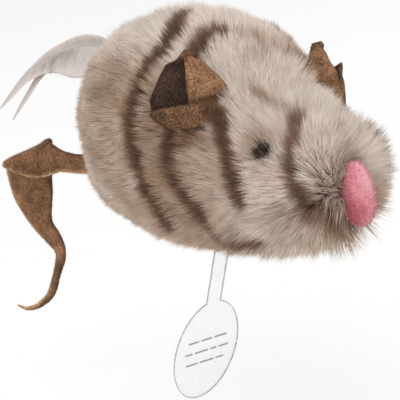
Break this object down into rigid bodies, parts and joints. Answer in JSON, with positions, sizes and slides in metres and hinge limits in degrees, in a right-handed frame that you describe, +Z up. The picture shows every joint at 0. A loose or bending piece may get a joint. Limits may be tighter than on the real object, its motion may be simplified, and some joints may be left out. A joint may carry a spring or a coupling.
{
  "type": "plush mouse cat toy",
  "caption": "Soft mouse-shaped cat toy with folded ears, a felt nose, a folded suede tail, feathers and a film pull tab under the belly for the sound module inside.",
  "frame": {"origin": "on the flat of the belly, under the middle of the stuffed body", "axes": "+X towards the nose, +Y towards the mouse's left ear, +Z up out of its back"},
  "size_m": [0.155, 0.063, 0.1133],
  "materials": {
    "striped_pile": "long soft pile, taupe with dark brown stripes",
    "polyester_fibre": "loose white filling fibre",
    "brown_suede": "imitation suede, napped on both faces, cut edges",
    "dark_thread": "stitched thread",
    "pink_felt": "short napped felt",
    "white_feather": "soft translucent feather vane",
    "clear_film": "thin clear film with a dull cut edge",
    "white_abs": "moulded, satin",
    "nickel_plate": "bright nickel plate",
    "brass_sheet": "rolled sheet",
    "green_board": "solder resist on laminate",
    "black_epoxy": "glossy drop of resin",
    "red_insulation": "soft wire sleeve",
    "black_insulation": "soft wire sleeve"
  },
  "bodies": {
    "mouse": {"fur_side_left": "striped_pile", "fur_side_right": "striped_pile", "fur_belly": "striped_pile", "stuffing": "polyester_fibre", "ear_left": "brown_suede", "ear_right": "brown_suede", "eye_left": "dark_thread", "eye_right": "dark_thread", "nose_pad": "pink_felt", "case_base": "white_abs", "case_lid": "white_abs", "case_screw_front": "nickel_plate", "case_screw_rear": "nickel_plate", "circuit_board": "green_board", "sound_chip": "black_epoxy", "sounder_disc": "brass_sheet", "button_cell_1": "nickel_plate", "button_cell_2": "nickel_plate", "button_cell_3": "nickel_plate", "contact_rear": "brass_sheet", "contact_front": "brass_sheet", "vibration_spring": "nickel_plate", "vibration_pin": "nickel_plate", "lead_red": "red_insulation", "lead_black": "black_insulation"},
    "tail_strip": {"tail_upper": "brown_suede"},
    "tail_end": {"tail_lower": "brown_suede"},
    "feathers": {"feather_broad": "white_feather", "feather_narrow": "white_feather"},
    "tab_strip": {"pull_tab_strip": "clear_film"},
    "tab_grip": {"pull_tab_grip": "clear_film"}
  },
  "joints": [
    {"name": "tail_wag", "type": "hinge", "parent": "mouse", "child": "tail_strip", "pos_m": [-0.05222, 0, 0.01996], "axis": [0, 0, 1], "range_deg": [-100, 35], "stiffness_Nm_per_rad": 0.001},
    {"name": "tail_fold", "type": "hinge", "parent": "tail_strip", "child": "tail_end", "pos_m": [-0.08202, -0.02238, 0.02307], "axis": [0.7481, 0.5617, 0.3535], "range_deg": [-2, 90]},
    {"name": "feather_sway", "type": "hinge", "parent": "mouse", "child": "feathers", "pos_m": [-0.05153, 0, 0.04278], "axis": [0, 0, 1], "range_deg": [-80, 20], "stiffness_Nm_per_rad": 0.0005},
    {"name": "tab_pull", "type": "slide", "parent": "mouse", "child": "tab_strip", "axis": [0, 0, -1], "range_m": [0, 0.02]},
    {"name": "tab_fold", "type": "hinge", "parent": "tab_strip", "child": "tab_grip", "pos_m": [-0.0146, 0, -0.00175], "axis": [0, 1, 0], "range_deg": [-115, 55], "stiffness_Nm_per_rad": 0.0002}
  ]
}
